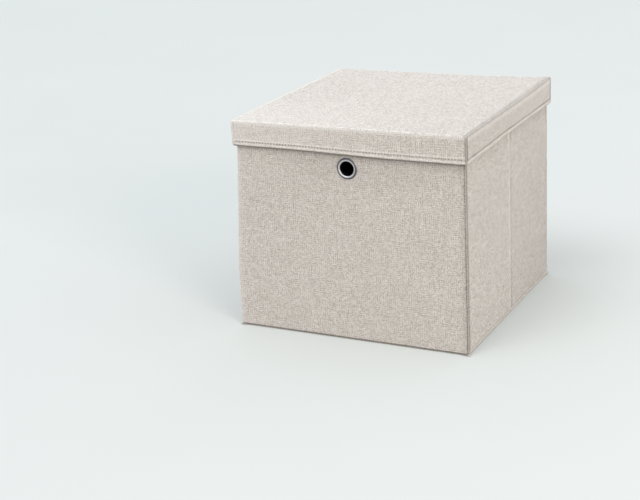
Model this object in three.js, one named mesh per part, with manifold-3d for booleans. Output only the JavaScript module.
// A collapsible fabric storage box with a lift-off lid, as a scene graph of named pieces.
// Millimetres, +Z up. The front wall faces -Y, and the origin is at the bottom centre of the box.
// The two side walls are creased at mid-depth and fold inwards, which brings the back wall to the front.
import * as THREE from "three";
import { mergeVertices } from "three/addons/utils/BufferGeometryUtils.js";
import Module from "manifold-3d";

const wasm = await Module();
wasm.setup();

// Driving dimensions of the box, in millimetres
const box = {
  width: 320,
  depth: 320,
  height: 290, // with the lid on
  cornerRadius: 3,
};

// Thickness of each layer that a wall, the base or the lid is made of
const layer = {
  cover: 0.9,
  wallBoard: 1.8,
  baseBoard: 2.4,
  lidBoard: 1.8,
  skirtBoard: 1.2,
  lining: 0.7,
};

const trim = {
  rimHeight: 8, // binding folded over the top edge of each wall
  hemHeight: 5, // stitched hem along the lower edge of the lid's skirt
};

const lid = {
  skirtHeight: 34,
  clearance: 1, // all round, between the walls and the inside of the skirt
};

const eyelet = {
  drop: 5.7, // from the lid's skirt down to the ring
  holeRadius: 9.25,
  flangeWidth: 5.05, // from the hole out to the ring's rim
  barrelWall: 0.6,
  flangeRise: 2.1,
  rollReach: 2.75, // from the hole out to the edge of the roll behind the wall
  rollRise: 0.8,
  washerThickness: 0.8,
};

const gap = 0.3; // left between neighbouring pieces
const overrun = 5; // how far a cutting tool runs past what it cuts
const weldDistance = 0.0001; // vertices closer than this are one
const arcSegments = 6;
const roundSegments = 48;

// Sizes that follow from the ones above
const wallThickness = layer.cover + layer.wallBoard + layer.lining + 2 * gap;
const baseThickness = layer.cover + layer.baseBoard + layer.lining + 2 * gap;
const lidThickness = layer.cover + layer.lidBoard + layer.lining + 2 * gap;
const skirtThickness = layer.cover + layer.skirtBoard + layer.lining + 2 * gap;
const wallBottom = baseThickness + gap;
const wallTop = box.height - lidThickness - gap;
const overhang = lid.clearance + skirtThickness;
const lidWidth = box.width + 2 * overhang;
const lidDepth = box.depth + 2 * overhang;
const skirtBottom = box.height - lid.skirtHeight;
const skirtTop = box.height - layer.cover - gap;
const flangeRadius = eyelet.holeRadius + eyelet.flangeWidth;
const eyeletHeight = skirtBottom - eyelet.drop - flangeRadius;

// Materials, one for each kind of stuff
const stuff = {
  cover: new THREE.MeshStandardMaterial({ color: 0xc8c0b6, roughness: 0.95, metalness: 0 }),
  trim: new THREE.MeshStandardMaterial({ color: 0xd6d0c6, roughness: 0.95, metalness: 0 }),
  lining: new THREE.MeshStandardMaterial({ color: 0x2b292c, roughness: 0.9, metalness: 0 }),
  board: new THREE.MeshStandardMaterial({ color: 0x9c8f7c, roughness: 0.9, metalness: 0 }),
  chrome: new THREE.MeshStandardMaterial({ color: 0xd5d6d8, roughness: 0.15, metalness: 1 }),
};

function solidOf(geometry) {
  const bare = geometry.clone();
  bare.deleteAttribute("normal");
  bare.deleteAttribute("uv");
  const merged = mergeVertices(bare, weldDistance);
  return new wasm.Manifold(
    new wasm.Mesh({
      numProp: 3,
      vertProperties: merged.attributes.position.array,
      triVerts: new Uint32Array(merged.index.array),
    }),
  );
}

function geometryOf(solid) {
  const mesh = solid.getMesh();
  const geometry = new THREE.BufferGeometry();
  geometry.setAttribute("position", new THREE.BufferAttribute(mesh.vertProperties, 3));
  geometry.setIndex(new THREE.BufferAttribute(mesh.triVerts, 1));
  return geometry;
}

function cut(geometry, ...tools) {
  const solid = tools.reduce((left, tool) => left.subtract(solidOf(tool)), solidOf(geometry));
  return geometryOf(solid);
}

// A block from one height to another, with a plan that runs from yOuter in to yInner.
// Its two outer corners are rounded where a radius is given.
function slab(length, yOuter, yInner, zFrom, zTo, radius = 0) {
  const half = length / 2;
  const plan = new THREE.Shape();
  plan.moveTo(half, yInner);
  plan.lineTo(-half, yInner);
  if (radius > 0) {
    plan.absarc(-half + radius, yOuter + radius, radius, Math.PI, 1.5 * Math.PI, false);
    plan.absarc(half - radius, yOuter + radius, radius, 1.5 * Math.PI, 2 * Math.PI, false);
  } else {
    plan.lineTo(-half, yOuter);
    plan.lineTo(half, yOuter);
  }
  plan.closePath();
  const extrusion = { depth: Math.abs(zTo - zFrom), bevelEnabled: false, curveSegments: arcSegments };
  return new THREE.ExtrudeGeometry(plan, extrusion).translate(0, 0, Math.min(zFrom, zTo));
}

// A level plate centred on the Z axis, with four rounded corners
function plate(width, depth, zFrom, zTo, radius) {
  const x = width / 2 - radius;
  const y = depth / 2 - radius;
  const plan = new THREE.Shape();
  plan.absarc(x, y, radius, 0, 0.5 * Math.PI, false);
  plan.absarc(-x, y, radius, 0.5 * Math.PI, Math.PI, false);
  plan.absarc(-x, -y, radius, Math.PI, 1.5 * Math.PI, false);
  plan.absarc(x, -y, radius, 1.5 * Math.PI, 2 * Math.PI, false);
  plan.closePath();
  const extrusion = { depth: zTo - zFrom, bevelEnabled: false, curveSegments: arcSegments };
  return new THREE.ExtrudeGeometry(plan, extrusion).translate(0, 0, zFrom);
}

function addPiece(parent, name, geometry, material) {
  const mesh = new THREE.Mesh(geometry, material);
  mesh.name = name;
  parent.add(mesh);
}

// A stiffened panel in its own frame: the outer face at y = 0, the inside towards +Y.
// Its closed edge holds the cover's return, and a strip of trim is folded over its bound edge.
function makePanel(name, { length, closedZ, boundZ, trimName, trimHeight, board, radius = 0, hole = null }) {
  const panel = new THREE.Group();
  const towards = Math.sign(boundZ - closedZ);
  const boardOuter = layer.cover + gap;
  const boardInner = boardOuter + board;
  const liningOuter = boardInner + gap;
  const thickness = liningOuter + layer.lining;
  const pocketLength = length - 2 * layer.cover;
  const boardLength = pocketLength - 2 * gap;
  const corner = Math.min(radius, boardInner - gap); // the rounding stays within the cover's return
  const pocketRadius = Math.max(0, corner - layer.cover);
  const boardRadius = Math.max(0, pocketRadius - gap);
  const trimEdge = boundZ - towards * trimHeight;
  const skinEdge = trimEdge - towards * gap;
  const boardClosed = closedZ + towards * (layer.cover + gap);
  const boardBound = boundZ - towards * (layer.cover + gap);
  const pierce = (geometry) => (hole ? cut(geometry, hole) : geometry);

  const coverPocket = slab(
    pocketLength,
    layer.cover,
    liningOuter + overrun,
    closedZ + towards * layer.cover,
    skinEdge + towards * overrun,
    pocketRadius,
  );
  const cover = cut(slab(length, 0, boardInner, closedZ, skinEdge, corner), coverPocket);
  addPiece(panel, name + "_cover", pierce(cover), stuff.cover);

  const core = slab(boardLength, boardOuter, boardInner, boardClosed, boardBound, boardRadius);
  addPiece(panel, name + "_board", pierce(core), stuff.board);

  const lining = slab(length, liningOuter, thickness, closedZ, skinEdge);
  addPiece(panel, name + "_lining", pierce(lining), stuff.lining);

  const trimPocket = slab(
    pocketLength,
    layer.cover,
    liningOuter,
    trimEdge - towards * overrun,
    boundZ - towards * layer.cover,
  );
  const strip = cut(slab(length, 0, thickness, trimEdge, boundZ, corner), trimPocket);
  addPiece(panel, name + "_" + trimName, strip, stuff.trim);
  return panel;
}

function place(panel, x, y, turn) {
  panel.position.set(x, y, 0);
  panel.rotation.z = turn;
  return panel;
}

// Walls: the front and back run the full width, and each side is two halves that meet at a crease.
function makeWalls() {
  const walls = new THREE.Group();
  const edges = { closedZ: wallBottom, boundZ: wallTop, board: layer.wallBoard };
  const rim = { trimName: "rim_binding", trimHeight: trim.rimHeight };
  const holeRadius = eyelet.holeRadius + eyelet.barrelWall + gap;
  const holeLength = 2 * (wallThickness + overrun);
  const hole = new THREE.CylinderGeometry(holeRadius, holeRadius, holeLength, roundSegments);
  hole.translate(0, 0, eyeletHeight);
  const full = { ...edges, ...rim, length: box.width, radius: box.cornerRadius };
  walls.add(place(makePanel("front", { ...full, hole }), 0, -box.depth / 2, 0));
  walls.add(place(makePanel("back", full), 0, box.depth / 2, Math.PI));

  const sideSpan = box.depth / 2 - wallThickness;
  const halfLength = sideSpan - gap - gap / 2;
  const halfCentre = gap / 2 + halfLength / 2;
  for (const [side, x, turn] of [
    ["right", box.width / 2, Math.PI / 2],
    ["left", -box.width / 2, -Math.PI / 2],
  ]) {
    const half = { ...edges, ...rim, length: halfLength };
    walls.add(place(makePanel(side + "_front", half), x, -halfCentre, turn));
    walls.add(place(makePanel(side + "_rear", half), x, halfCentre, turn));
  }
  return walls;
}

// Base: a shallow fabric tray that holds the floor's board under the floor's lining
function makeBase() {
  const base = new THREE.Group();
  const inset = (amount) => [box.width - 2 * amount, box.depth - 2 * amount];
  const pocketRadius = box.cornerRadius - layer.cover;
  const tray = plate(box.width, box.depth, 0, baseThickness, box.cornerRadius);
  const pocket = plate(...inset(layer.cover), layer.cover, baseThickness + overrun, pocketRadius);
  addPiece(base, "base_cover", cut(tray, pocket), stuff.cover);

  const inner = inset(layer.cover + gap);
  const innerRadius = pocketRadius - gap;
  const boardBottom = layer.cover + gap;
  const boardTop = boardBottom + layer.baseBoard;
  addPiece(base, "base_board", plate(...inner, boardBottom, boardTop, innerRadius), stuff.board);
  addPiece(base, "base_lining", plate(...inner, boardTop + gap, baseThickness, innerRadius), stuff.lining);
  return base;
}

// Eyelet: a flanged ring whose barrel passes through the front wall and is rolled over a washer inside.
// The profiles are (radius, distance out from the wall's outer face), turned about the eyelet's own axis.
function makeEyelet() {
  const parts = new THREE.Group();
  const barrelRadius = eyelet.holeRadius + eyelet.barrelWall;
  const rollRadius = eyelet.holeRadius + eyelet.rollReach;
  const washerOuter = -wallThickness - gap;
  const washerInner = washerOuter - eyelet.washerThickness;
  const rollOuter = washerInner - gap;
  const rollInner = rollOuter - eyelet.rollRise;
  const crownRadius = (flangeRadius - eyelet.holeRadius) / 2;
  const crownCentre = (flangeRadius + eyelet.holeRadius) / 2;

  const ring = [new THREE.Vector2(eyelet.holeRadius, rollInner)];
  ring.push(new THREE.Vector2(rollRadius, rollInner));
  ring.push(new THREE.Vector2(rollRadius, rollOuter));
  ring.push(new THREE.Vector2(barrelRadius, rollOuter));
  ring.push(new THREE.Vector2(barrelRadius, gap));
  for (let i = 0; i <= 2 * arcSegments; i += 1) {
    const angle = (Math.PI * i) / (2 * arcSegments);
    const radius = crownCentre + crownRadius * Math.cos(angle);
    ring.push(new THREE.Vector2(radius, gap + (eyelet.flangeRise - gap) * Math.sin(angle)));
  }
  ring.push(ring[0].clone());
  addPiece(parts, "eyelet_ring", new THREE.LatheGeometry(ring, roundSegments), stuff.chrome);

  const washer = [
    new THREE.Vector2(barrelRadius + gap, washerInner),
    new THREE.Vector2(flangeRadius, washerInner),
    new THREE.Vector2(flangeRadius, washerOuter),
    new THREE.Vector2(barrelRadius + gap, washerOuter),
    new THREE.Vector2(barrelRadius + gap, washerInner),
  ];
  addPiece(parts, "eyelet_washer", new THREE.LatheGeometry(washer, roundSegments), stuff.chrome);

  parts.rotation.x = Math.PI;
  parts.position.set(0, -box.depth / 2, eyeletHeight);
  return parts;
}

// Lid: a stiffened top with a skirt panel hanging from each side
function makeLid() {
  const cap = new THREE.Group();
  addPiece(
    cap,
    "lid_top_cover",
    plate(lidWidth, lidDepth, box.height - layer.cover, box.height, box.cornerRadius),
    stuff.cover,
  );
  const innerWidth = lidWidth - 2 * (skirtThickness + gap);
  const innerDepth = lidDepth - 2 * (skirtThickness + gap);
  const boardTop = box.height - layer.cover - gap;
  const boardBottom = boardTop - layer.lidBoard;
  const liningTop = boardBottom - gap;
  const core = plate(innerWidth, innerDepth, boardBottom, boardTop, box.cornerRadius);
  const lining = plate(innerWidth, innerDepth, liningTop - layer.lining, liningTop, box.cornerRadius);
  addPiece(cap, "lid_top_board", core, stuff.board);
  addPiece(cap, "lid_top_lining", lining, stuff.lining);

  const edges = { closedZ: skirtTop, boundZ: skirtBottom, board: layer.skirtBoard };
  const hem = { trimName: "hem", trimHeight: trim.hemHeight };
  const long = { ...edges, ...hem, length: lidWidth, radius: box.cornerRadius };
  const short = { ...edges, ...hem, length: lidDepth - 2 * (skirtThickness + gap) };
  cap.add(place(makePanel("skirt_front", long), 0, -lidDepth / 2, 0));
  cap.add(place(makePanel("skirt_back", long), 0, lidDepth / 2, Math.PI));
  cap.add(place(makePanel("skirt_right", short), lidWidth / 2, 0, Math.PI / 2));
  cap.add(place(makePanel("skirt_left", short), -lidWidth / 2, 0, -Math.PI / 2));
  return cap;
}

const group = new THREE.Group();
group.add(makeBase(), makeWalls(), makeEyelet(), makeLid());
export default group;
